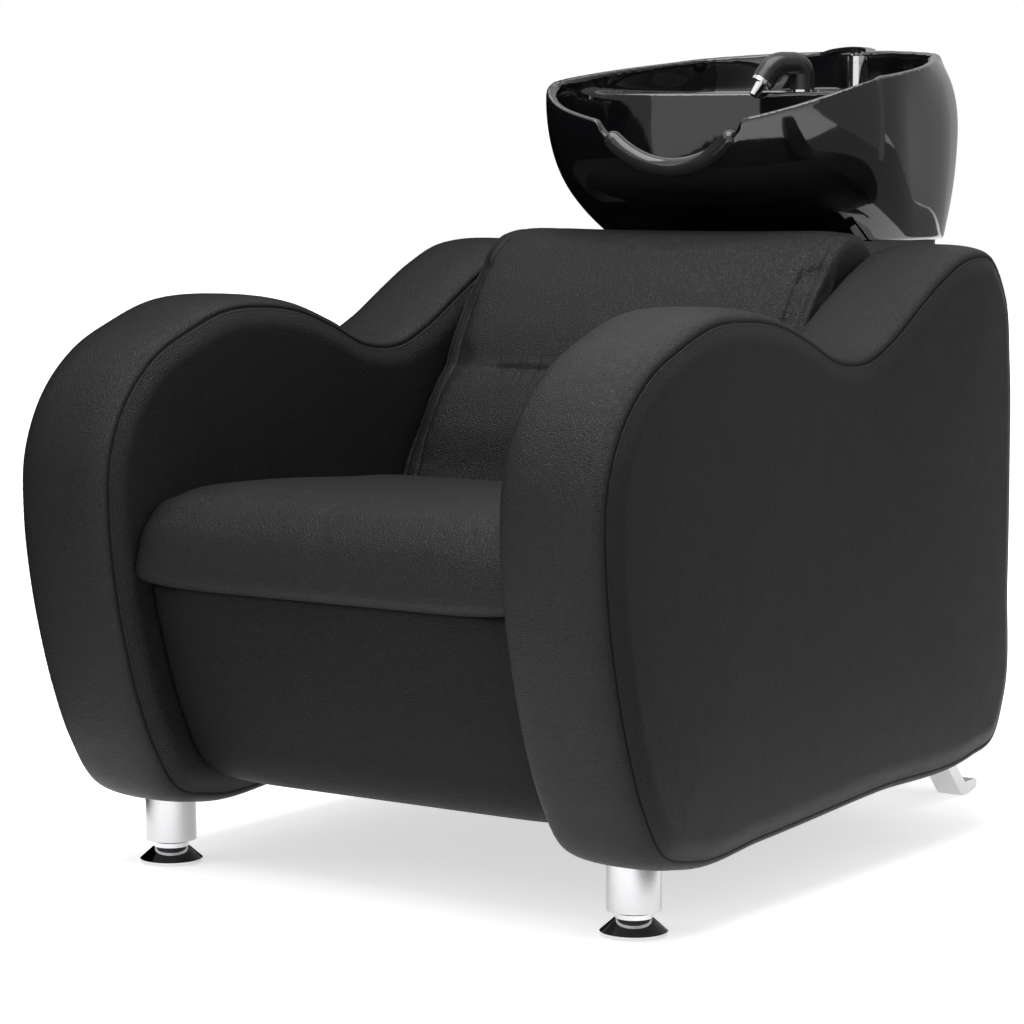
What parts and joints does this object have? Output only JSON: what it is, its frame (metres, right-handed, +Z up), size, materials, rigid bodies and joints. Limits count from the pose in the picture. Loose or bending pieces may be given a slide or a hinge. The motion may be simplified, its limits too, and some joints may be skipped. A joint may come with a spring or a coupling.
{
  "type": "backwash shampoo chair",
  "caption": "Upholstered salon armchair with curved sides and a tilting ceramic shampoo basin on a column behind the back.",
  "frame": {"origin": "on the floor, under the centre of the chair's bounding box", "axes": "+Z up; -Y is the front, where the sitter faces; +Y runs back to the basin; +X is the sitter's left, the viewer's right from the front"},
  "size_m": [0.784, 1.1662, 0.9469],
  "materials": {
    "upholstery": "satin black",
    "timber": "bare plywood",
    "steel_black": "satin black powder coat",
    "steel_plated": "zinc plated",
    "chrome": "polished",
    "alloy": "satin",
    "basin_glaze": "gloss black glaze",
    "cowl_plastic": "gloss black",
    "black_plastic": "matt black",
    "rubber": "soft matt",
    "brass": "nickel plated",
    "bronze": "plain bearing bronze",
    "hose_braid": "braided"
  },
  "bodies": {
    "chair_base": {"arm_frame_left": "timber", "arm_band_left": "upholstery", "arm_outer_pad_left": "upholstery", "arm_inner_pad_left": "upholstery", "base_rail_left": "steel_black", "leg_tube_left": "alloy", "leg_insert_left": "black_plastic", "rear_foot_left": "alloy", "arm_frame_right": "timber", "arm_band_right": "upholstery", "arm_outer_pad_right": "upholstery", "arm_inner_pad_right": "upholstery", "base_rail_right": "steel_black", "leg_tube_right": "alloy", "leg_insert_right": "black_plastic", "rear_foot_right": "alloy", "seat_cushion": "upholstery", "seat_board": "timber", "seat_cleats": "timber", "back_cushion": "upholstery", "back_board": "timber", "apron_pad": "upholstery", "apron_board": "timber", "rear_panel": "upholstery", "base_cross_front": "steel_black", "base_cross_rear": "steel_black", "leg_screws": "steel_plated", "rear_foot_bolts": "steel_plated", "column_post": "steel_black", "column_cowl": "cowl_plastic", "cowl_rear_cover": "cowl_plastic", "cowl_screws": "steel_plated", "service_plate": "steel_black", "tilt_bracket": "steel_black", "tilt_bushes": "bronze", "drain_hose": "black_plastic", "drain_outlet": "black_plastic", "hot_valve": "brass", "cold_valve": "brass", "hot_hose": "hose_braid", "cold_hose": "hose_braid"},
    "basin_unit": {"basin": "basin_glaze", "neck_rest": "rubber", "basin_cradle": "steel_black", "tilt_pin": "steel_plated", "basin_bolts": "steel_plated", "basin_skirt": "cowl_plastic", "waste_flange": "chrome", "waste_nut": "black_plastic", "mixer_body": "chrome", "mixer_nut": "brass", "shower_holder": "chrome", "shower_hose": "hose_braid"},
    "mixer_cap": {"mixer_dome": "chrome"},
    "mixer_handle": {"mixer_lever": "chrome"},
    "hand_shower": {"shower_handset": "black_plastic", "shower_face": "chrome"},
    "strainer": {"hair_strainer": "chrome"},
    "front_foot_left": {"leg_foot_left": "chrome"},
    "front_foot_right": {"leg_foot_right": "chrome"}
  },
  "joints": [
    {"name": "basin_tilt", "type": "hinge", "parent": "chair_base", "child": "basin_unit", "pos_m": [0, 0.44195, 0.655], "axis": [1, 0, 0], "range_deg": [-10, 3], "deforming": ["drain_hose", "hot_hose", "cold_hose"]},
    {"name": "mixer_swivel", "type": "hinge", "parent": "basin_unit", "child": "mixer_cap", "pos_m": [0.066, 0.51195, 0.926], "axis": [0, 0, 1], "range_deg": [-45, 45]},
    {"name": "lever_lift", "type": "hinge", "parent": "mixer_cap", "child": "mixer_handle", "pos_m": [0.066, 0.51195, 0.9376], "axis": [0, 1, 0], "range_deg": [0, 20]},
    {"name": "shower_lift", "type": "slide", "parent": "basin_unit", "child": "hand_shower", "axis": [0, 0, 1], "range_m": [0, 0.12], "deforming": ["shower_hose"]},
    {"name": "strainer_lift", "type": "slide", "parent": "basin_unit", "child": "strainer", "axis": [0, 0, 1], "range_m": [0, 0.08]},
    {"name": "foot_level_left", "type": "slide", "parent": "chair_base", "child": "front_foot_left", "axis": [0, 0, -1], "range_m": [0, 0.012]},
    {"name": "foot_level_right", "type": "slide", "parent": "chair_base", "child": "front_foot_right", "axis": [0, 0, -1], "range_m": [0, 0.012]}
  ]
}
